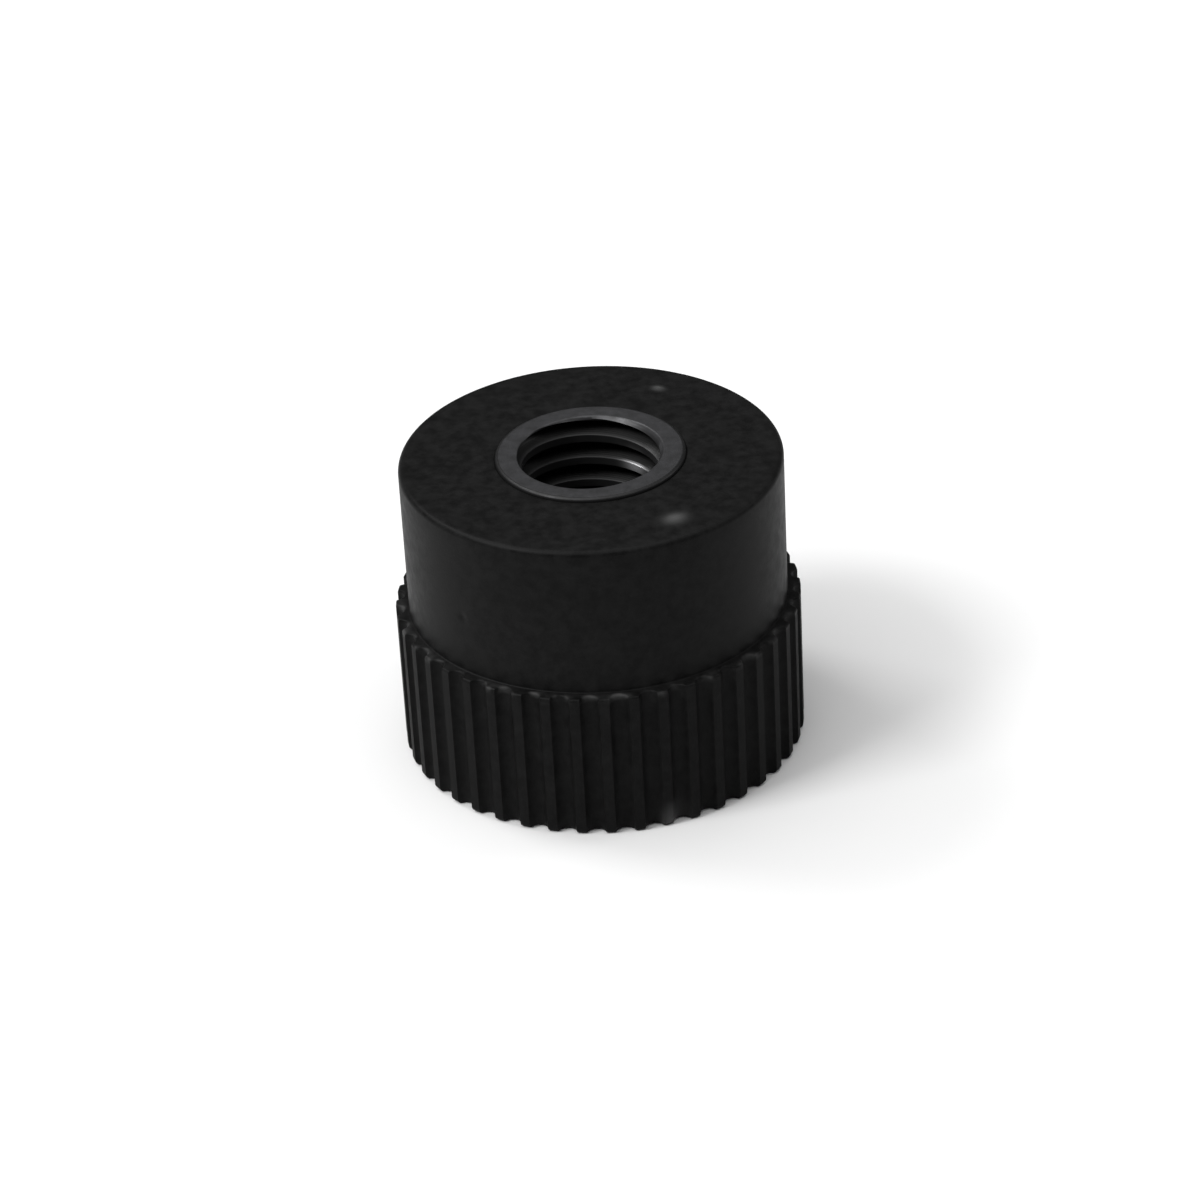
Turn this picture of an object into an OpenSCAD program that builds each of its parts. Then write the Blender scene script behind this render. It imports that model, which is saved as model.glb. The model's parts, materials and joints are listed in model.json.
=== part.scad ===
// Knurled thumb nut: a moulded body with a gripping band, round a threaded metal insert.
// Millimetres. The origin is the centre of the base, and +Z runs up the thread.

/* [Body] */
// Height of the moulded body
body_h = 15.4; // [12:0.1:24]
// Diameter over the crests of the gripping band
band_d = 20; // [16:0.1:30]
// Height of the gripping band, from the base
band_h = 7.7; // [4:0.1:10]
// How far the band's crests stand out from the plain collar
band_step = 0.65; // [0.5:0.05:1]
// Radius on the collar's top edge
collar_edge_r = 0.3; // [0.1:0.05:0.8]

/* [Grip serrations] */
// Number of serrations round the band
serrations = 44; // [30:1:48]
// Depth of a serration's round-bottomed groove
serration_depth = 0.4; // [0.2:0.05:0.45]
// Radius of the groove's round bottom
serration_r = 0.45; // [0.4:0.01:0.47]
// Chamfer where the band meets the collar
band_top_chamfer = 0.25; // [0.1:0.05:0.4]
// Chamfer round the base
band_base_chamfer = 0.15; // [0.1:0.05:0.6]

/* [Thread] */
// Nominal diameter of the thread
thread_d = 8; // [6:1:10]
// Pitch of the thread
thread_pitch = 1.25; // [0.8:0.05:1.5]
// Width of the 45 degree chamfer at each end of the thread
mouth_chamfer = 0.2; // [0.05:0.05:0.6]

/* [Insert] */
// Wall of the insert's plain ends, outside the thread
insert_wall = 0.65; // [0.5:0.05:1.2]
// How far the insert stands proud of the body's top face
insert_proud = 0.2; // [0.05:0.01:0.4]
// Bevel on the insert's proud edge
insert_bevel = 0.2; // [0.05:0.01:0.25]
// Length of each plain end
plain_end_h = 1.4; // [0.8:0.1:2.5]
// How far the insert's knurled bands stand out from its plain ends
knurl_proud = 0.55; // [0.4:0.05:0.9]
// Number of knurls round each band
knurls = 30; // [20:1:32]
// Depth of a knurl
knurl_depth = 0.3; // [0.15:0.05:0.35]
// Radius of a knurl's round bottom
knurl_r = 0.32; // [0.25:0.01:0.35]
// Width of the keying groove between the two knurled bands
key_groove_w = 2.6; // [1:0.1:4]
// Depth of the keying groove, from the crests of the knurls
key_groove_depth = 0.5; // [0.35:0.05:0.8]

/* [Hidden] */
$fn = 96;

cut = 1;                                    // how far a cutting tool runs past the faces that it opens
collar_d = band_d - 2 * band_step;
insert_d = thread_d + 2 * insert_wall;      // over the plain ends
knurl_d = insert_d + 2 * knurl_proud;       // over the crests of the knurls
insert_h = body_h + insert_proud;
bore_d = thread_d - thread_pitch;           // the thread's minor diameter, which is its tapping drill's
mouth_d = bore_d + 2 * mouth_chamfer;
key_groove_z = (insert_h - key_groove_w) / 2;       // its lower face: the groove is in the insert's middle

body_colour = [0.11, 0.11, 0.11];
steel_colour = [0.24, 0.24, 0.24];

// A round bar's outline with round-bottomed grooves cut along it.
module grooved_outline(d, count, depth, groove_r) {
    difference() {
        circle(d = d);
        for (i = [0 : count - 1])
            rotate((i + 0.5) * 360 / count)
                translate([d / 2 - depth + groove_r, 0])
                    circle(r = groove_r, $fn = 24);
    }
}

// Half of a round bar's section, with a chamfer at its base and another at its top.
module chamfered_section(r, h, base, top) {
    polygon([[0, 0], [r - base, 0], [r, base], [r, h - top], [r - top, h], [0, h]]);
}

module gripping_band() {
    intersection() {
        linear_extrude(band_h)
            grooved_outline(band_d, serrations, serration_depth, serration_r);
        rotate_extrude()
            chamfered_section(band_d / 2, band_h, band_base_chamfer, band_top_chamfer);
    }
}

// Half of the collar's section: square at its foot and rounded at its top edge.
module collar_section() {
    r = collar_d / 2;
    e = collar_edge_r;
    square([r - e, body_h]);
    square([r, body_h - e]);
    translate([r - e, body_h - e])
        circle(r = e, $fn = 48);
}

module collar() {
    rotate_extrude()
        intersection() {
            collar_section();
            square([collar_d, 2 * body_h]);
        }
}

// The insert's two knurled bands, with the keying groove between them.
module knurled_bands() {
    difference() {
        translate([0, 0, plain_end_h])
            linear_extrude(insert_h - 2 * plain_end_h)
                grooved_outline(knurl_d, knurls, knurl_depth, knurl_r);
        translate([0, 0, key_groove_z])
            difference() {
                cylinder(d = knurl_d + cut, h = key_groove_w);
                translate([0, 0, -cut])
                    cylinder(d = knurl_d - 2 * key_groove_depth, h = key_groove_w + 2 * cut);
            }
    }
}

// The insert's outside, which is the cavity that it fills in the moulding.
module insert_outside() {
    rotate_extrude()
        chamfered_section(insert_d / 2, plain_end_h, 0, 0);
    knurled_bands();
    translate([0, 0, insert_h - plain_end_h])
        rotate_extrude()
            chamfered_section(insert_d / 2, plain_end_h, 0, insert_bevel);
}

// The threaded hole, at its minor diameter, with a chamfer at each end.
module thread_bore() {
    translate([0, 0, -cut])
        cylinder(d = bore_d, h = insert_h + 2 * cut);
    cylinder(d1 = mouth_d, d2 = bore_d, h = mouth_chamfer);
    translate([0, 0, insert_h - mouth_chamfer])
        cylinder(d1 = bore_d, d2 = mouth_d, h = mouth_chamfer);
}

module moulded_body() {
    color(body_colour)
        difference() {
            union() {
                gripping_band();
                collar();
            }
            insert_outside();
        }
}

module threaded_insert() {
    color(steel_colour)
        difference() {
            insert_outside();
            thread_bore();
        }
}

moulded_body();
threaded_insert();
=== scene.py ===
# %% [markdown]
# # A knurled thumb nut
#
# A small black nut that is turned by hand. It is two pieces. A threaded steel bush, the insert, carries the
# screw. A nylon body is moulded round it, with a plain collar above and a band of straight serrations below
# for the fingers. The solid model gives both pieces at their true size and place. This lesson builds the
# surfaces that the eye sees, works out both finishes, and lights them.

# %% Load the fixed frame
import json
import math

import bpy
import numpy as np
from mathutils import Matrix, Vector

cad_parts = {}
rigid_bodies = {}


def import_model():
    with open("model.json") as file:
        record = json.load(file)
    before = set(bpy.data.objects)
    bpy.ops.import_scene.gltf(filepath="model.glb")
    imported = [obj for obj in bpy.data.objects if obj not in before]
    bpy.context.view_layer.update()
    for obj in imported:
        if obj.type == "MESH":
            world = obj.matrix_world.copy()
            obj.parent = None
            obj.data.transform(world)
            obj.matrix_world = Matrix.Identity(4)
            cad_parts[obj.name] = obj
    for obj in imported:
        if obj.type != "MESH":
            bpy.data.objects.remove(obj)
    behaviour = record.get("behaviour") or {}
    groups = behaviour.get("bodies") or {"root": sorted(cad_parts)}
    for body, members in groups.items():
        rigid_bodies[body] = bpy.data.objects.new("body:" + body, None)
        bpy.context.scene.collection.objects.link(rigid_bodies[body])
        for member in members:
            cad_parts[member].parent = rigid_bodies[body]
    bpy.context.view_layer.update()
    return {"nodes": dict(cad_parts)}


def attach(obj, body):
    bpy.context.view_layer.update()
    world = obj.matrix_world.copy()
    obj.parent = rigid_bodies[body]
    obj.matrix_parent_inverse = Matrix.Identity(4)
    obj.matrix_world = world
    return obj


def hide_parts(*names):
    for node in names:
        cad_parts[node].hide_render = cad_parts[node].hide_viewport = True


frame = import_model()
MM = 0.001

# %% [markdown]
# ## Sizes
#
# The sizes are measured on the solids, so that the new surfaces sit exactly where the solids do. They could
# be typed in again, but a copy goes wrong when the solid changes. A round part is read best as radius
# against height: the collar's radius, for one, is the widest point of the upper quarter.

# %% Read the sizes from the solids
UPPER_QUARTER = 0.75
NEAR_THE_END = 1 * MM
ON_THE_EDGE = 0.01 * MM


def radius_and_height(node):
    """The distance from the Z axis, and the height, of each vertex of a solid, in metres."""
    mesh = frame["nodes"][node].data
    flat = np.empty(3 * len(mesh.vertices), np.float32)
    mesh.vertices.foreach_get("co", flat)
    x, y, z = flat.astype(float).reshape(-1, 3).T
    return np.hypot(x, y), z


body_r, body_z = radius_and_height("moulded_body")
insert_r, insert_z = radius_and_height("threaded_insert")
band_radius = float(body_r.max())
body_top = float(body_z.max())
collar_radius = float(body_r[body_z > UPPER_QUARTER * body_top].max())
band_top = float(body_z[body_r > (band_radius + collar_radius) / 2].max())
insert_top = float(insert_z.max())
insert_radius = float(insert_r[insert_z > insert_top - NEAR_THE_END].max())
knurl_radius = float(insert_r.max())
bore_radius = float(insert_r.min())
mouth_radius = float(insert_r[insert_z > insert_top - ON_THE_EDGE].min())
for name, size in (
    ("band radius", band_radius),
    ("band top", band_top),
    ("collar radius", collar_radius),
    ("body top", body_top),
    ("insert radius", insert_radius),
    ("knurl radius", knurl_radius),
    ("insert top", insert_top),
    ("bore radius", bore_radius),
    ("mouth radius", mouth_radius),
):
    print(f"{name}: {size / MM:.3f} mm")

# %% [markdown]
# ## The camera
#
# The camera comes first, because every later choice is judged through it. It looks down at a small part
# from about a hand's length away with a long lens, so the ellipses of the collar and the band are nearly
# alike, and it leans a few degrees, as a hand-held one does.

# %% Place the camera
CAMERA_ELEVATION = math.radians(31.2)
CAMERA_ROLL = math.radians(-3.2)
CAMERA_DISTANCE = 20 * band_radius
CAMERA_LENS = 121.4
AIM_HEIGHT = 0.717 * band_radius
AIM_SIDE = 0.07 * MM
NEAREST_SEEN = 5 * MM

aim = Vector((AIM_SIDE, 0, AIM_HEIGHT))
backward = Vector((0, -math.cos(CAMERA_ELEVATION), math.sin(CAMERA_ELEVATION)))
camera_data = bpy.data.cameras.new("camera")
camera_data.lens = CAMERA_LENS
camera_data.clip_start = NEAREST_SEEN
camera = bpy.data.objects.new("camera", camera_data)
bpy.context.scene.collection.objects.link(camera)
camera.rotation_mode = "QUATERNION"
camera.location = aim + CAMERA_DISTANCE * backward
turned = Matrix.Rotation(CAMERA_ROLL, 4, backward) @ backward.to_track_quat("Z", "Y").to_matrix().to_4x4()
camera.rotation_quaternion = turned.to_quaternion()
bpy.context.scene.camera = camera
print("camera at, mm:", [round(value / MM, 1) for value in camera.location])

# %% [markdown]
# ## From arrays to a mesh
#
# Both pieces are grids: each row is one trip round the axis, and the rows follow each other over the whole
# skin, outside and inside, until the last meets the first. Where two rows share a point, as at the bottom
# of a step, the points are welded, and faces that shrank to a line or a point are dropped. What is left is
# a closed skin that could be printed. Blender can merge doubles itself, but on whole arrays the join is one
# sort.

# %% Weld a grid
WELD = 0.0005 * MM


def weld(points, faces):
    """Joins points that agree to WELD. Returns which points are kept, the quads, and the triangles.

    A quad with one repeated corner is a triangle, and one with more has no area and is dropped.
    """
    keys = np.round(points / WELD).astype(np.int64)
    _, kept, merged = np.unique(keys, axis=0, return_index=True, return_inverse=True)
    quads = merged.reshape(-1)[faces]
    repeated = quads == np.roll(quads, -1, axis=1)
    repeats = repeated.sum(axis=1)
    crossed = (quads[:, 0] == quads[:, 2]) | (quads[:, 1] == quads[:, 3])
    narrow = (repeats == 1) & ~crossed
    return kept, quads[(repeats == 0) & ~crossed], quads[narrow][~repeated[narrow]].reshape(-1, 3)


# Two quads in a row, the second squeezed to a triangle at its far end, show what weld does.
sample = np.array([(0, 0, 0), (1, 0, 0), (2, 0, 0), (0, 1, 0), (1, 1, 0), (2, 0, 0)], float) * MM
kept, quads, triangles = weld(sample, np.array([(0, 1, 4, 3), (1, 2, 5, 4)]))
print(f"{len(sample)} points weld to {len(kept)}, in {len(quads)} quad and {len(triangles)} triangle")

# %% [markdown]
# A piece is smooth but for its real edges. Some of what its finish needs is known only here, such as which
# points lie in the band, so it goes along as numbers on the points, and the material reads them back.

# %% Make a piece, and measure it
SHARP_EDGE = math.radians(40)


def add_piece(name, points, faces, **attributes):
    """Makes a mesh object at the origin from a grid, smooth but for its real edges, with its attributes."""
    kept, quads, triangles = weld(points, faces)
    mesh = bpy.data.meshes.new(name)
    mesh.from_pydata(points[kept], [], quads.tolist() + triangles.tolist())
    mesh.update()
    mesh.shade_smooth()
    mesh.set_sharp_from_angle(angle=SHARP_EDGE)
    for label, values in attributes.items():
        layer = mesh.attributes.new(label, "FLOAT", "POINT")
        layer.data.foreach_set("value", values.reshape(-1)[kept].astype(np.float32))
    piece = bpy.data.objects.new(name, mesh)
    bpy.context.scene.collection.objects.link(piece)
    return piece


def describe(piece):
    """Prints a piece's triangles, its volume, and how many of its edges don't join exactly two faces.

    The volume is a sixth of the sum, over the triangles, of a . (b x c) for corners a, b and c. It comes
    out positive only where the faces point outwards.
    """
    mesh = piece.data
    loops = np.empty(len(mesh.loops), np.int32)
    mesh.loops.foreach_get("edge_index", loops)
    open_edges = int((np.bincount(loops, minlength=len(mesh.edges)) != 2).sum())
    mesh.calc_loop_triangles()
    corners = np.empty(3 * len(mesh.loop_triangles), np.int32)
    mesh.loop_triangles.foreach_get("vertices", corners)
    flat = np.empty(3 * len(mesh.vertices), np.float32)
    mesh.vertices.foreach_get("co", flat)
    a, b, c = flat.astype(float).reshape(-1, 3)[corners.reshape(-1, 3)].transpose(1, 0, 2) / MM
    volume = np.einsum("ij,ij->i", a, np.cross(b, c)).sum() / 6
    print(f"{piece.name}: {len(mesh.loop_triangles)} triangles, {volume:.1f} mm3, {open_edges} open edges")


# %% [markdown]
# ## Rows of a skin
#
# A row is written as four numbers: its radius, its height, and how much of each cut it takes. The first cut
# is the band's serrations, the second the knurls that key the insert into the moulding. A share of 0 leaves
# the row round, and 1 gives it the whole depth. Round corners are arcs of rows.

# %% Helpers for rows
QUARTER = math.pi / 2


def arc(radius, height, size, start, end, steps, shares=(0, 0)):
    """Rows along a circular arc about (radius, height): point = centre + size * (cos angle, sin angle)."""
    return [
        (radius + size * math.cos(angle), height + size * math.sin(angle), *shares)
        for angle in np.linspace(start, end, steps)
    ]


def straight(start, end, steps, shares=(0, 0)):
    """Rows along a straight line from one (radius, height) to another, both ends included."""
    return [(*point, *shares) for point in np.linspace(start, end, steps).tolist()]


sample = arc(1, 1, 1, -QUARTER, 0, 3)
print("three rows of a round corner:", [tuple(round(value, 3) for value in row[:2]) for row in sample])

# %% [markdown]
# ## Serrations and knurls
#
# The band has 44 straight serrations, about 1.4 mm apart, moulded with rounded crests so that they grip
# without cutting. The insert has a knurled outside too. It is hidden in the body, where it keeps the insert
# from turning. Both could be cut out with booleans, but a cut that is a formula can fade out over a rounded
# corner and have soft edges of its own.

# %% Sizes of the two cuts
SERRATIONS = 44
SERRATION_DEPTH = 0.4 * MM
SERRATION_RADIUS = 0.45 * MM
SERRATION_SOFTNESS = 0.1 * MM
KNURLS = 30
KNURL_DEPTH = 0.3 * MM
KNURL_GROOVE_RADIUS = 0.32 * MM
KNURL_SOFTNESS = 0.02 * MM
LAND = -0.1 * MM


def groove_depth(angle, radius, count, depth, groove_radius, softness):
    """How deep one of count round-bottomed grooves cuts at an angle, in metres.

    Each groove is part of a circle whose centre lies depth - groove_radius inside the rim, midway between
    two crests. Its cut runs from depth at the middle to LAND on the crests, where there is no groove. The
    cut is rounded into the rim: half of it, plus the root of its half squared and softness squared. What
    that gives at LAND is taken off, so the crests stay exactly on the rim.
    """
    pitch = 2 * math.pi / count
    offset = (np.mod(angle, pitch) - pitch / 2) * radius
    cut = depth - groove_radius + np.sqrt(np.clip(groove_radius**2 - offset**2, 0, None))
    cut = np.where(np.abs(offset) < groove_radius, np.maximum(cut, LAND), LAND)
    rounded, rim = [half + np.sqrt(half**2 + softness**2) for half in (cut / 2, LAND / 2)]
    return rounded - rim


def serration_cut(angle):
    """The depth of the band's serrations at an angle."""
    return groove_depth(
        angle, band_radius, SERRATIONS, SERRATION_DEPTH, SERRATION_RADIUS, SERRATION_SOFTNESS
    )


def knurl_cut(angle):
    """The depth of the insert's knurls at an angle."""
    return groove_depth(angle, knurl_radius, KNURLS, KNURL_DEPTH, KNURL_GROOVE_RADIUS, KNURL_SOFTNESS)


print("serration pitch, mm:", round(2 * math.pi * band_radius / SERRATIONS / MM, 3))
crest_and_valley = serration_cut(np.array([0, math.pi / SERRATIONS]))
print("serration depth at a crest and in a valley, mm:", np.round(crest_and_valley / MM, 3))

# %% [markdown]
# A list of rows becomes a skin by carrying it round the axis. There are 24 columns to a serration, enough
# for its round valley and both soft edges.

# %% Carry rows round the axis
COLUMNS = 24 * SERRATIONS


def skin(rows, columns):
    """The points of a grid of rows and columns: radius less each cut's share, carried round the axis."""
    radius, height, serration, knurl = np.array(rows).T[:, :, None]
    angle = np.arange(columns) * 2 * math.pi / columns
    distance = radius - serration * serration_cut(angle) - knurl * knurl_cut(angle)
    level = np.broadcast_to(height, distance.shape)
    return np.stack([distance * np.cos(angle), distance * np.sin(angle), level], axis=-1)


def grid_faces(rows, columns):
    """Quads between neighbouring rows and columns, the last column joined to the first."""
    row, column = np.meshgrid(np.arange(rows - 1), np.arange(columns), indexing="ij")
    after = (column + 1) % columns
    here, above = row * columns, (row + 1) * columns
    return np.stack([here + column, here + after, above + after, above + column], axis=-1).reshape(-1, 4)


print("columns are apart, mm:", round(2 * math.pi * band_radius / COLUMNS / MM, 3))

# %% [markdown]
# The body and the insert share one surface inside: the plastic fills the insert's knurls, and a groove
# round its middle keeps it from being pulled out. So its rows are written once, and the body takes them in
# reverse.

# %% Rows of the keyed side
PLAIN_END = 1.4 * MM
KEY_GROOVE_WIDTH = 2.6 * MM
KEY_GROOVE_DEPTH = 0.5 * MM


def keyed_side():
    """Rows up the insert's outside: plain end, knurls, keying groove, knurls, plain end."""
    groove_low = (insert_top - KEY_GROOVE_WIDTH) / 2
    groove_high = groove_low + KEY_GROOVE_WIDTH
    groove_floor = knurl_radius - KEY_GROOVE_DEPTH
    knurl_high = insert_top - PLAIN_END
    return [
        (insert_radius, PLAIN_END, 0, 0),
        *straight((knurl_radius, PLAIN_END), (knurl_radius, groove_low), 3, (0, 1)),
        *straight((groove_floor, groove_low), (groove_floor, groove_high), 3),
        *straight((knurl_radius, groove_high), (knurl_radius, knurl_high), 3, (0, 1)),
        (insert_radius, knurl_high, 0, 0),
    ]


print("rows of the keyed side:", len(keyed_side()))

# %% [markdown]
# ## The moulded body
#
# The rows start where the base meets the insert, cross the base, climb the serrated band and the plain
# collar, cross the top face back to the insert, and go down the cavity that the insert fills. Mould corners
# are never sharp: each edge has a small radius, which is what catches the light. Rows lie closer together
# where a mark or a rub will need them.

# %% Rows of the moulded body
BASE_EDGE = 0.3 * MM
BASE_FLAT_END = 0.9 * MM
BAND_EDGE = 0.14 * MM
RUB_FADE = 0.35 * MM
FOOT_FILLET = 0.08 * MM
PIT_HEIGHT = 10.7 * MM
PIT_ZONE = 0.42 * MM
COLLAR_EDGE = 0.3 * MM
CREASE = 0.05 * MM

top_face_start = collar_radius - COLLAR_EDGE
crease_radius = insert_radius + CREASE
pit_low, pit_high = PIT_HEIGHT - PIT_ZONE, PIT_HEIGHT + PIT_ZONE
body_rows = [
    *straight((crease_radius, 0), (band_radius - BASE_FLAT_END, 0), 6),
    *arc(band_radius - BASE_EDGE, BASE_EDGE, BASE_EDGE, -QUARTER, 0, 7, (1, 0)),
    *straight((band_radius, BASE_EDGE), (band_radius, band_top - BAND_EDGE), 7, (1, 0))[1:-1],
    (band_radius, band_top - RUB_FADE, 1, 0),
    *arc(band_radius - BAND_EDGE, band_top - BAND_EDGE, BAND_EDGE, 0, QUARTER, 6, (1, 0)),
    *arc(collar_radius + FOOT_FILLET, band_top + FOOT_FILLET, FOOT_FILLET, -QUARTER, -math.pi, 4),
    *straight((collar_radius, band_top + FOOT_FILLET), (collar_radius, pit_low), 4)[1:],
    *straight((collar_radius, pit_low), (collar_radius, pit_high), 7)[1:],
    *straight((collar_radius, pit_high), (collar_radius, body_top - COLLAR_EDGE), 6)[1:-1],
    *arc(top_face_start, body_top - COLLAR_EDGE, COLLAR_EDGE, 0, QUARTER, 8),
    *straight((top_face_start, body_top), (crease_radius, body_top), 24)[1:-1],
    *arc(crease_radius, body_top - CREASE, CREASE, QUARTER, math.pi, 4),
    *keyed_side()[::-1],
    *arc(crease_radius, CREASE, CREASE, math.pi, 3 * QUARTER, 4),
]
print("rows of the body:", len(body_rows))

# %% [markdown]
# ### Marks of the moulding
#
# A moulded part shows where it was made. Two small marks lie opposite each other on the top face, one a
# soft blister where the gate was cut and one a pip from an ejector pin. There is a pit in the collar and a
# dent in the base's edge. They are a few hundredths of a millimetre high or deep. A bump in the material
# could fake them, but they would be missing from the shape, so they are pushed into the grid as soft bell
# curves. The blister, the pip and the dent are also painted pale, as painted highlights.

# %% Push the marks into the body's grid
# Each mark is its radius, angle from +X in degrees and height, the lift of the skin, its half-width round
# the axis and across, and how strongly pale colour is painted on it as a painted highlight.
MARKS = [
    (7.6 * MM, -60, body_top, 0.07 * MM, 0.55 * MM, 0.4 * MM, 1),
    (7.3 * MM, 61, body_top, 0.06 * MM, 0.3 * MM, 0.2 * MM, 1),
    (collar_radius, -134, PIT_HEIGHT, -0.05 * MM, 0.22 * MM, 0.22 * MM, 0),
    (band_radius, -72, 0.2 * MM, -0.04 * MM, 0.55 * MM, 0.4 * MM, 1.4),
]


def mark_strength(points, mark):
    """A bell curve round a mark: e to the minus squared distance, each axis by its own half-width."""
    radius, degrees, height, _, half_round, half_across, _ = mark
    angle = math.radians(degrees)
    along = np.arctan2(points[..., 1], points[..., 0]) - angle
    along = (np.mod(along + math.pi, 2 * math.pi) - math.pi) * radius
    across = np.hypot(np.hypot(points[..., 0], points[..., 1]) - radius, points[..., 2] - height)
    return np.exp(-((along / half_round) ** 2) - (across / half_across) ** 2)


def pushed(points, mark):
    """Moves each point by the mark's lift times its strength: up on the top face, outwards on a side."""
    _, _, height, lift, _, _, _ = mark
    outward = points * (1, 1, 0)
    outward /= np.linalg.norm(outward, axis=-1, keepdims=True)
    direction = np.array((0, 0, 1.0)) if height == body_top else outward
    return points + (lift * mark_strength(points, mark))[..., None] * direction


body_grid = skin(body_rows, COLUMNS)
for mark in MARKS:
    plain_grid = body_grid
    body_grid = pushed(plain_grid, mark)
    moved = np.linalg.norm(body_grid - plain_grid, axis=-1).max()
    print(f"mark at {mark[1]} degrees moves the skin by up to {moved / MM:.3f} mm")

# %% [markdown]
# ### Where the body is worn, and its painted highlights
#
# The band's sides come duller from the mould than the collar, because the grooves of a mould can't be
# polished. Its top corner is painted pale in patches: partly wear, and partly a painted highlight,
# strongest on the lit left front side. The marks are painted pale too, as painted highlights. Each of these
# is a number from 0 to 1 on every point.

# %% Wear and painted highlights of the body, and its mesh
RUB_REACH = 0.15 * MM
# The side where the corner's painted highlight is strongest, the left front, where the lamps fall.
RUB_SIDE = math.radians(-125)
RUB_ALL_ROUND = 0.55
RUB_ONE_SIDE = 0.45

row_radius, row_height, row_share = np.array(body_rows).T[:3, :, None]
band = np.broadcast_to(row_share * (row_height < band_top - BAND_EDGE), body_grid.shape[:2])
from_corner = np.hypot(row_radius - band_radius, row_height - band_top)
around = np.arctan2(body_grid[..., 1], body_grid[..., 0])
# Pale paint on the band's top corner: wear in patches, plus a painted highlight strongest on the lit side.
one_side = RUB_ALL_ROUND + RUB_ONE_SIDE * np.cos(around - RUB_SIDE)
rubbed = np.exp(-((from_corner / RUB_REACH) ** 2)) * one_side
# The marks' pale paint is a painted highlight laid over the bumps.
scuff = np.clip(sum(mark[-1] * mark_strength(body_grid, mark) for mark in MARKS), 0, 1)
body = add_piece(
    "moulded_body_skin",
    body_grid.reshape(-1, 3),
    grid_faces(len(body_rows), COLUMNS),
    band=band,
    rubbed=rubbed,
    scuff=scuff,
)
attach(body, "root")
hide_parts("moulded_body")
describe(body)

# %% [markdown]
# ## The threaded insert
#
# The solid has a plain bore, at the size that a tap drill leaves. The real hole has a thread cut into it,
# M8 by 1.25 mm, and that spiral is what the eye finds in the hole. Seen along the wall, an internal thread
# is a row of 60 degree grooves, one for each turn, that climb by one pitch a turn. Near each end face the
# groove is drawn shallower, so that the end face stays an even ring round the hole.

# %% Surface of the threaded bore
THREAD_RADIUS = 4 * MM
THREAD_PITCH = 1.25 * MM
THREAD_START = math.radians(250)
THREAD_DEPTH = THREAD_RADIUS - bore_radius
ROOT_FLAT = THREAD_PITCH / 8
FLANK_SLOPE = 1 / math.tan(math.radians(30))
LEAD_IN = 1 * MM
LEAD_IN_SHARE = 0.4


def bore_surface(angle, height):
    """The hole's radius at an angle and a height: the widest of the thread and of the two mouths.

    The thread's groove is midway through each pitch. Its radius falls from the root by FLANK_SLOPE for each
    unit of distance from the root's flat, and stops at the bore. Its depth is multiplied by LEAD_IN_SHARE,
    plus the distance from the nearer end over LEAD_IN, up to 1. Each mouth is a 45 degree cone.
    """
    phase = np.mod(height / THREAD_PITCH - (angle - THREAD_START) / (2 * math.pi), 1)
    from_root = np.abs(phase - 0.5) * THREAD_PITCH
    groove = np.clip(THREAD_RADIUS - (from_root - ROOT_FLAT / 2) * FLANK_SLOPE - bore_radius, 0, None)
    from_end = np.minimum(height, insert_top - height)
    share = np.clip(LEAD_IN_SHARE + from_end / LEAD_IN, 0, 1)
    groove = share * np.minimum(groove, THREAD_DEPTH)
    return np.maximum(bore_radius + groove, mouth_radius - from_end)


middle_turn = bore_surface(0, np.linspace(0, THREAD_PITCH, 200) + insert_top / 2)
print("thread across, mm:", [round(2 * edge / MM, 2) for edge in (middle_turn.min(), middle_turn.max())])

# %% [markdown]
# Blender's Screw modifier makes a thread, but leaves it as a loose ribbon with open ends. A grid of level
# rows would close, but cuts across every crest, and the crests turn to steps. So the bore's grid is wound
# like the thread: each row follows the spiral, and after one turn it joins the row one pitch above. Its
# corners then lie along the thread's own edges, and stay sharp.

# %% A grid that winds with the thread
INSERT_COLUMNS = 14 * KNURLS
FLANK_ROWS = 5

half_groove = ROOT_FLAT / 2 + THREAD_DEPTH / FLANK_SLOPE
flank = np.linspace(ROOT_FLAT / 2, half_groove, FLANK_ROWS)
groove_middle = 0.5 * THREAD_PITCH
thread_profile = np.concatenate(
    [groove_middle - flank[::-1], [groove_middle], groove_middle + flank, [THREAD_PITCH]]
)
thread_profile /= THREAD_PITCH


def threaded_bore(low, high):
    """The bore's points and faces between two heights, on a grid that winds with the thread."""
    turns = np.arange(-2, math.ceil(high / THREAD_PITCH) + 2)
    along = (turns[:, None] + thread_profile[None, :]).reshape(-1)
    angle = np.arange(INSERT_COLUMNS) * 2 * math.pi / INSERT_COLUMNS
    winding = (angle - THREAD_START) / (2 * math.pi)
    height = np.clip((along[:, None] + winding[None, :]) * THREAD_PITCH, low, high)
    radius = bore_surface(angle[None, :], height)
    points = np.stack([radius * np.cos(angle), radius * np.sin(angle), height], axis=-1)
    row, column = np.meshgrid(np.arange(len(along) - 1), np.arange(INSERT_COLUMNS), indexing="ij")
    climbed = np.where(column == INSERT_COLUMNS - 1, row + len(thread_profile), row)
    after = (column + 1) % INSERT_COLUMNS
    inside = climbed + 1 < len(along)
    row, column, climbed, after = (values[inside] for values in (row, column, climbed, after))
    here, there = row * INSERT_COLUMNS + column, climbed * INSERT_COLUMNS + after
    faces = np.stack([here, here + INSERT_COLUMNS, there + INSERT_COLUMNS, there], axis=-1)
    return points.reshape(-1, 3), faces


print("rows in one turn of the thread:", len(thread_profile))

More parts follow.
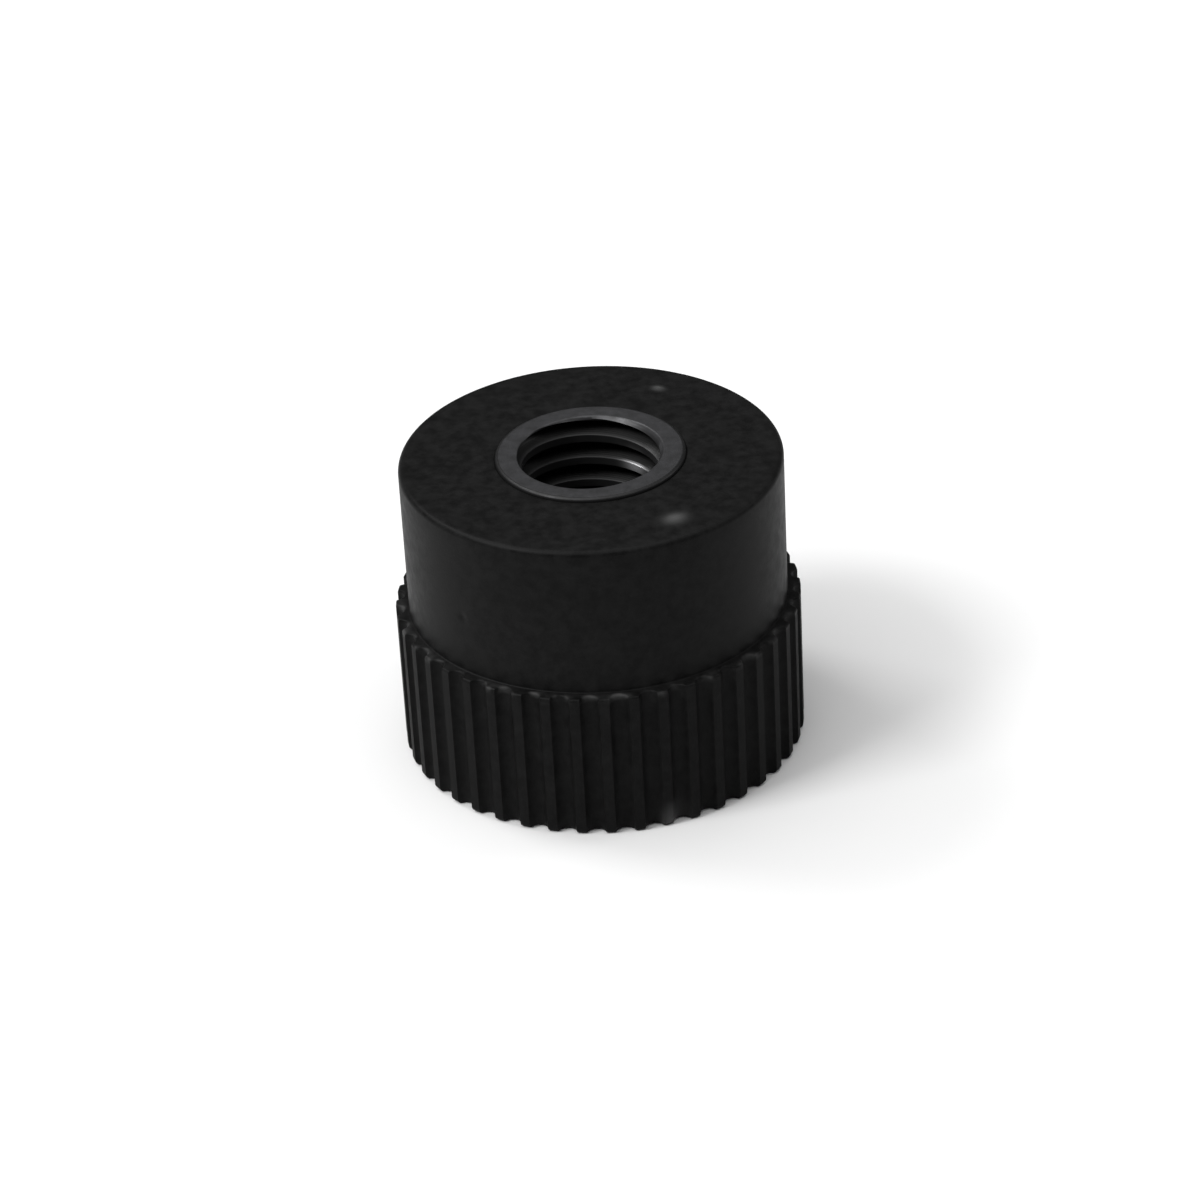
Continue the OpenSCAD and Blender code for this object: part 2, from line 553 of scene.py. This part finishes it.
# %% [markdown]
# ### The insert's outside
#
# The rest of the insert is turned on a lathe: flat ends, small radii at the mouth, a rounded rim that
# stands proud of the plastic by a fifth of a millimetre, and the keyed side that the body is moulded to. It
# is a list of rows again. Where the thread's groove runs out through an end face, the hole's edge swings
# outwards, so the rows of the face are moved out with it.

# %% Rows of the insert
MOUTH_EDGE = 0.08 * MM
RIM_BEVEL = insert_top - body_top
BASE_RIM = 0.05 * MM

rim_start = insert_radius - RIM_BEVEL
mouth_centre = mouth_radius + MOUTH_EDGE * math.tan(math.pi / 8)
insert_rows = [
    *arc(mouth_centre, MOUTH_EDGE, MOUTH_EDGE, -3 * math.pi / 4, -QUARTER, 4),
    *arc(insert_radius - BASE_RIM, BASE_RIM, BASE_RIM, -QUARTER, 0, 4),
    *keyed_side(),
    *arc(rim_start, insert_top - RIM_BEVEL, RIM_BEVEL, 0, QUARTER, 9),
    *straight((rim_start, insert_top), (mouth_centre, insert_top), 5)[1:-1],
    *arc(mouth_centre, insert_top - MOUTH_EDGE, MOUTH_EDGE, QUARTER, 3 * math.pi / 4, 6),
]


def opened_mouths(grid):
    """Moves the hole's two edges out to where the thread's groove runs out through the end face.

    The shift is the groove's radius at the mouth less the mouth's own. A row takes all of it at the hole's
    edge, and a share that falls evenly to nothing at the end face's outer edge.
    """
    row_radius, row_height = np.array(insert_rows)[:, :2].T
    share = np.clip((rim_start - row_radius) / (rim_start - mouth_centre), 0, 1)
    angle = np.arange(INSERT_COLUMNS) * 2 * math.pi / INSERT_COLUMNS
    openings = [bore_surface(angle, row[1]) - row[0] for row in (insert_rows[0], insert_rows[-1])]
    opening = np.where(row_height[:, None] < insert_top / 2, openings[0], openings[1])
    outward = np.stack([np.cos(angle), np.sin(angle), np.zeros_like(angle)], axis=-1)
    return grid + (share[:, None] * opening)[..., None] * outward


outside_points = opened_mouths(skin(insert_rows, INSERT_COLUMNS)).reshape(-1, 3)
outside_faces = grid_faces(len(insert_rows), INSERT_COLUMNS)
inside_points, inside_faces = threaded_bore(insert_rows[0][1], insert_rows[-1][1])
insert_points = np.concatenate([outside_points, inside_points])
insert_faces = np.concatenate([outside_faces, inside_faces + len(outside_points)])
print("points outside and in the bore:", len(outside_points), len(inside_points))

# %% [markdown]
# ### Where the insert has painted shade and a painted glint
#
# The hole is painted nearly black from just inside the mouths, as painted shade. The proud rim's bevel
# is painted dark too, as painted shade that dulls its highlight. A painted glint, bright bare steel, lies
# on one crest of the thread. The crests elsewhere shine only a little, from wear.

# %% Painted shade, painted glint and wear of the insert, and its mesh
OIL_DEPTH = 0.4 * MM
FLASH_COVER = 0.8
CREST_REACH = 0.12 * MM
CREST_SHINE = 0.04
# Where the painted glint sits on the thread's second crest.
KNOCK_ANGLE = math.radians(50)
KNOCK_DEPTH = 2.33 * MM
KNOCK_HALF_WIDTH = 0.55 * MM

bore_depth = np.hypot(insert_points[:, 0], insert_points[:, 1]) - bore_radius
from_end = np.minimum(insert_points[:, 2], insert_top - insert_points[:, 2])
# Painted shade: the hole is painted nearly black from just inside each mouth.
oil = np.clip(from_end / OIL_DEPTH, 0, 1) * (bore_depth < THREAD_DEPTH + WELD)
# Painted shade: the rim's bevel is painted dark, which dulls its highlight.
flash = FLASH_COVER * (bore_depth > rim_start + WELD - bore_radius)
# Painted glint: a bright spot painted on one crest of the thread.
knock_place = (
    bore_radius * math.cos(KNOCK_ANGLE),
    bore_radius * math.sin(KNOCK_ANGLE),
    insert_top - KNOCK_DEPTH,
)
knock = np.linalg.norm((insert_points - knock_place) / KNOCK_HALF_WIDTH, axis=1)
crest = np.clip(1 - np.abs(bore_depth) / CREST_REACH, 0, 1)
insert = add_piece(
    "threaded_insert_skin",
    insert_points,
    insert_faces,
    burnish=crest * np.clip(CREST_SHINE + np.exp(-(knock**2)), 0, 1),
    oil=np.maximum(oil, flash),
)
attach(insert, "root")
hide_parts("threaded_insert")
describe(insert)

# %% [markdown]
# ## Materials
#
# Both finishes are built from nodes, so that they hold at any distance. One function turns a paint-chip hex
# colour into the linear numbers that the shader adds up, and one adds a node with its settings and its
# links.

# %% Colour and node helpers
# A noise texture's values crowd between these two.
NOISE_LOW, NOISE_HIGH = 0.35, 0.65
# The colour sockets of a Mix node go by number, because its other sockets share their names.
MIX_A, MIX_B, MIX_RESULT = 6, 7, 2


def linear(hex_colour):
    """Turns an sRGB hex colour into linear RGBA: each channel is ((c + 0.055) / 1.055) to the power 2.4."""
    channels = [int(hex_colour[i : i + 2], 16) / 255 for i in (1, 3, 5)]
    return (*[c / 12.92 if c <= 0.04045 else ((c + 0.055) / 1.055) ** 2.4 for c in channels], 1)


def add_node(tree, kind, inputs=None, **settings):
    """Adds a node. Each input is a value to set, or another node's output socket to link."""
    node = tree.nodes.new(kind)
    for label, value in settings.items():
        setattr(node, label, value)
    for key, value in (inputs or {}).items():
        if isinstance(value, bpy.types.NodeSocket):
            tree.links.new(value, node.inputs[key])
        else:
            node.inputs[key].default_value = value
    return node


def new_material(name):
    """A material with an empty node tree, and the tree."""
    material = bpy.data.materials.new(name)
    material.use_nodes = True
    material.node_tree.nodes.clear()
    return material, material.node_tree


def finish_material(tree, inputs):
    """Adds the shader and joins it to the output."""
    shader = add_node(tree, "ShaderNodeBsdfPrincipled", inputs)
    add_node(tree, "ShaderNodeOutputMaterial", {"Surface": shader.outputs["BSDF"]})


print("mid grey #808080 is linear", round(linear("#808080")[0], 3))

# %% [markdown]
# ### Black glass-filled nylon, moulded
#
# Nylon with short glass fibres is what hand nuts are moulded in. The mould's surface is lightly sparked, so
# the skin is satin and not glossy, and the fibres near the surface give it a faint mottle, darker and
# lighter patches about half a millimetre across. All of this is subtle: black plastic shows its finish in
# how it breaks up a reflection, more than in its colour.
#
# The spark texture is drawn a tenth of a millimetre across, two or three times the real one, because a
# finer one wouldn't show. A noise texture on object coordinates needs no unwrapping, and has no seam.

# %% Patterns of the nylon
MOTTLE_SIZE = 0.6 * MM
SPARK_SIZE = 0.12 * MM
RUB_SIZE = 1.1 * MM
RUB_LOW, RUB_HIGH = 0.48, 0.66

nylon, tree = new_material("black_glass_filled_nylon_moulded")
place = add_node(tree, "ShaderNodeTexCoord").outputs["Object"]
mottle = add_node(
    tree, "ShaderNodeTexNoise", {"Vector": place, "Scale": 1 / MOTTLE_SIZE, "Detail": 4, "Roughness": 0.6}
).outputs["Fac"]
spark = add_node(
    tree, "ShaderNodeTexNoise", {"Vector": place, "Scale": 1 / SPARK_SIZE, "Detail": 2, "Roughness": 0.5}
).outputs["Fac"]
rub = add_node(
    tree, "ShaderNodeTexNoise", {"Vector": place, "Scale": 1 / RUB_SIZE, "Detail": 2, "Roughness": 0.5}
).outputs["Fac"]
patch = add_node(
    tree, "ShaderNodeMapRange", {"Value": mottle, "From Min": NOISE_LOW, "From Max": NOISE_HIGH}
).outputs["Result"]
rub_patch = add_node(
    tree, "ShaderNodeMapRange", {"Value": rub, "From Min": RUB_LOW, "From Max": RUB_HIGH}
).outputs["Result"]
print("nodes in the nylon's patterns:", len(tree.nodes))

# %% [markdown]
# The colour is near black, and its two tones are so close that only a strong light tells them apart. A pale
# grey is painted on the band's top corner and on the marks: partly wear, where broken glass fibres scatter
# the light, and partly a painted highlight.

# %% Colour of the nylon
NYLON_DARK = linear("#0c0c0c")
NYLON_LIGHT = linear("#161616")
# Pale grey for wear and for the painted highlights on the corner and the marks.
NYLON_SCUFF = linear("#444444")

nylon_colour = add_node(
    tree, "ShaderNodeMix", {"Factor": patch, MIX_A: NYLON_DARK, MIX_B: NYLON_LIGHT}, data_type="RGBA"
).outputs[MIX_RESULT]
scuffed = add_node(tree, "ShaderNodeAttribute", attribute_name="scuff").outputs["Fac"]
rubbed_corner = add_node(tree, "ShaderNodeAttribute", attribute_name="rubbed").outputs["Fac"]
# Painted highlight and wear: the corner's pale patches plus the marks' pale spots.
scuffed = add_node(
    tree,
    "ShaderNodeMath",
    {0: rubbed_corner, 1: rub_patch, 2: scuffed},
    operation="MULTIPLY_ADD",
    use_clamp=True,
).outputs[0]
nylon_colour = add_node(
    tree, "ShaderNodeMix", {"Factor": scuffed, MIX_A: nylon_colour, MIX_B: NYLON_SCUFF}, data_type="RGBA"
).outputs[MIX_RESULT]
for name, tone in (("dark", NYLON_DARK), ("light", NYLON_LIGHT), ("scuff", NYLON_SCUFF)):
    print(f"nylon {name} sends back {100 * tone[0]:.2f} % of the light")

# %% [markdown]
# The roughness starts from 0.5, usual for satin plastic, and varies with the mottle. The IOR stays at the
# default 1.5, close to nylon's 1.53, but the sparked skin sends back less of it as a clear reflection, so
# the specular level is well below a polished plastic's. The bump gives the top face its grain.

# %% Surface of the nylon
NYLON_SMOOTH, NYLON_ROUGH = 0.44, 0.54
BAND_DULLER = 0.1
NYLON_SPECULAR = 0.065
MOTTLE_LIFT = 0.6
SPARK_HEIGHT = 0.012 * MM
SPARK_STRENGTH = 0.35

in_band = add_node(tree, "ShaderNodeAttribute", attribute_name="band").outputs["Fac"]
nylon_roughness = add_node(
    tree, "ShaderNodeMapRange", {"Value": patch, "To Min": NYLON_SMOOTH, "To Max": NYLON_ROUGH}
).outputs["Result"]
nylon_roughness = add_node(
    tree, "ShaderNodeMath", {0: in_band, 1: BAND_DULLER, 2: nylon_roughness}, operation="MULTIPLY_ADD"
).outputs[0]
height = add_node(
    tree, "ShaderNodeMath", {0: mottle, 1: MOTTLE_LIFT, 2: spark}, operation="MULTIPLY_ADD"
).outputs[0]
nylon_bump = add_node(
    tree, "ShaderNodeBump", {"Height": height, "Strength": SPARK_STRENGTH, "Distance": SPARK_HEIGHT}
).outputs["Normal"]
finish_material(
    tree,
    {
        "Base Color": nylon_colour,
        "Roughness": nylon_roughness,
        "Specular IOR Level": NYLON_SPECULAR,
        "Normal": nylon_bump,
    },
)
body.data.materials.append(nylon)
print("nodes in", nylon.name + ":", len(tree.nodes))

# %% [markdown]
# ### Blackened steel, turned
#
# The insert is turned from bar and then blackened, which leaves a dark oxide over a metal that still shines
# through. A lathe tool leaves rings: they follow the radius, so the pattern is a wave in the distance from
# the axis. They are 0.09 mm apart, a usual feed for a finishing cut.

# %% Patterns of the steel
OXIDE_SIZE = 0.6 * MM
TOOL_RING = 0.09 * MM

steel, tree = new_material("blackened_steel_turned")
place = add_node(tree, "ShaderNodeTexCoord").outputs["Object"]
oxide = add_node(
    tree, "ShaderNodeTexNoise", {"Vector": place, "Scale": 1 / OXIDE_SIZE, "Detail": 5, "Roughness": 0.6}
).outputs["Fac"]
oxide_patch = add_node(
    tree, "ShaderNodeMapRange", {"Value": oxide, "From Min": NOISE_LOW, "From Max": NOISE_HIGH}
).outputs["Result"]
flat_place = add_node(
    tree, "ShaderNodeVectorMath", {0: place, 1: (1, 1, 0)}, operation="MULTIPLY"
).outputs[0]
from_axis = add_node(tree, "ShaderNodeVectorMath", {0: flat_place}, operation="LENGTH").outputs["Value"]
ring_phase = add_node(
    tree, "ShaderNodeMath", {0: from_axis, 1: 2 * math.pi / TOOL_RING}, operation="MULTIPLY"
).outputs[0]
tool_ring = add_node(tree, "ShaderNodeMath", {0: ring_phase}, operation="SINE").outputs[0]
print("tool rings across the end face:", round((rim_start - mouth_centre) / TOOL_RING))

# %% [markdown]
# The oxide's two greys lie under everything. Painted shade darkens it in the hole and on the rim's bevel,
# and the bright steel of the painted glint and the crests' wear goes on last, over both.

# %% Colour of the steel
STEEL_DARK = linear("#2f2f30")
STEEL_LIGHT = linear("#414143")
# Bright steel for the painted glint and for the crests' wear.
STEEL_BRIGHT = linear("#c4c4c6")
# The colour of the painted shade in the hole and on the rim's bevel.
STEEL_OILED = linear("#101010")

steel_colour = add_node(
    tree, "ShaderNodeMix", {"Factor": oxide_patch, MIX_A: STEEL_DARK, MIX_B: STEEL_LIGHT}, data_type="RGBA"
).outputs[MIX_RESULT]
oiled = add_node(tree, "ShaderNodeAttribute", attribute_name="oil").outputs["Fac"]
burnished = add_node(tree, "ShaderNodeAttribute", attribute_name="burnish").outputs["Fac"]
# Painted shade goes on first, then the painted glint and the crests' wear over it.
for share, tone in ((oiled, STEEL_OILED), (burnished, STEEL_BRIGHT)):
    steel_colour = add_node(
        tree, "ShaderNodeMix", {"Factor": share, MIX_A: steel_colour, MIX_B: tone}, data_type="RGBA"
    ).outputs[MIX_RESULT]
for name, tone in (("dark", STEEL_DARK), ("light", STEEL_LIGHT), ("bright", STEEL_BRIGHT)):
    print(f"steel {name} sends back {100 * tone[0]:.2f} % of the light")

# %% [markdown]
# Bare metal would have a metallic of 1 and the oxide film 0. A thin film is between the two. The roughness
# is a satin finish's, a little smoother where the oxide is lighter, and much smoother on the painted glint.

# %% Surface of the steel
STEEL_METALLIC = 0.6
STEEL_ROUGH, STEEL_SMOOTH = 0.5, 0.42
SHINE_SMOOTHER = -0.25
TOOL_RING_HEIGHT = 0.004 * MM
TOOL_RING_STRENGTH = 0.3

steel_roughness = add_node(
    tree, "ShaderNodeMapRange", {"Value": oxide_patch, "To Min": STEEL_ROUGH, "To Max": STEEL_SMOOTH}
).outputs["Result"]
steel_roughness = add_node(
    tree, "ShaderNodeMath", {0: burnished, 1: SHINE_SMOOTHER, 2: steel_roughness}, operation="MULTIPLY_ADD"
).outputs[0]
steel_bump = add_node(
    tree,
    "ShaderNodeBump",
    {"Height": tool_ring, "Strength": TOOL_RING_STRENGTH, "Distance": TOOL_RING_HEIGHT},
).outputs["Normal"]
finish_material(
    tree,
    {
        "Base Color": steel_colour,
        "Metallic": STEEL_METALLIC,
        "Roughness": steel_roughness,
        "Normal": steel_bump,
    },
)
insert.data.materials.append(steel)
print("nodes in", steel.name + ":", len(tree.nodes))

# %% [markdown]
# ## Floor and light
#
# A black part on a pale floor is lit mostly by what it reflects. The floor is a sheet of matt paper that
# fills the view behind it.

# %% Floor
FLOOR_HALF = 1.5
FLOOR_COLOUR = linear("#dedede")

floor_corners = [(x * FLOOR_HALF, y * FLOOR_HALF, 0) for x, y in ((-1, -1), (1, -1), (1, 1), (-1, 1))]
floor_mesh = bpy.data.meshes.new("floor")
floor_mesh.from_pydata(floor_corners, [], [(0, 1, 2, 3)])
floor = bpy.data.objects.new("floor", floor_mesh)
bpy.context.scene.collection.objects.link(floor)
paper, tree = new_material("matt_white_paper")
finish_material(tree, {"Base Color": FLOOR_COLOUR, "Roughness": 0.9, "Specular IOR Level": 0.1})
floor_mesh.materials.append(paper)
print("floor across, m:", 2 * FLOOR_HALF)

# %% [markdown]
# The room is dim, so that the top face stays dark. A large softbox overhead lights the floor, and hangs a
# little to the left. Two small lamps on the left, one in front and one behind, brighten the collar's left
# side and its front edge, and the far flank of the thread. A faint one on the right finds the right side.
# Small lamps are what give black plastic a highlight with a soft edge, where one big lamp would only turn
# it grey.

# %% Lamps and room
ROOM_STRENGTH = 0.5

nut_middle = Vector((0, 0, body_top / 2))


def add_lamp(name, azimuth, elevation, distance, size, power):
    """A square soft lamp that faces the nut. Azimuth 0 is towards the camera's side and 90 to its right."""
    data = bpy.data.lights.new(name, "AREA")
    data.shape = "SQUARE"
    data.size = size
    data.energy = power
    lamp = bpy.data.objects.new(name, data)
    around, up = math.radians(azimuth), math.radians(elevation)
    outward = Vector((math.sin(around) * math.cos(up), -math.cos(around) * math.cos(up), math.sin(up)))
    lamp.location = nut_middle + distance * outward
    lamp.rotation_mode = "QUATERNION"
    lamp.rotation_quaternion = outward.to_track_quat("Z", "Y")
    bpy.context.scene.collection.objects.link(lamp)
    print(f"{name}: {power} W at {distance} m")


add_lamp("overhead_softbox", azimuth=-75, elevation=83, distance=1.0, size=1.4, power=12)
add_lamp("left_front_lamp", azimuth=-66, elevation=49, distance=0.8, size=0.25, power=3.9)
add_lamp("left_back_lamp", azimuth=-125, elevation=47, distance=0.8, size=0.25, power=1.8)
add_lamp("right_lamp", azimuth=105, elevation=32, distance=0.8, size=0.2, power=0.8)

room = bpy.data.worlds.new("dim_room")
room.use_nodes = True
room.node_tree.nodes["Background"].inputs["Color"].default_value = linear("#808080")
room.node_tree.nodes["Background"].inputs["Strength"].default_value = ROOM_STRENGTH
bpy.context.scene.world = room
bpy.context.scene.view_settings.view_transform = "Standard"
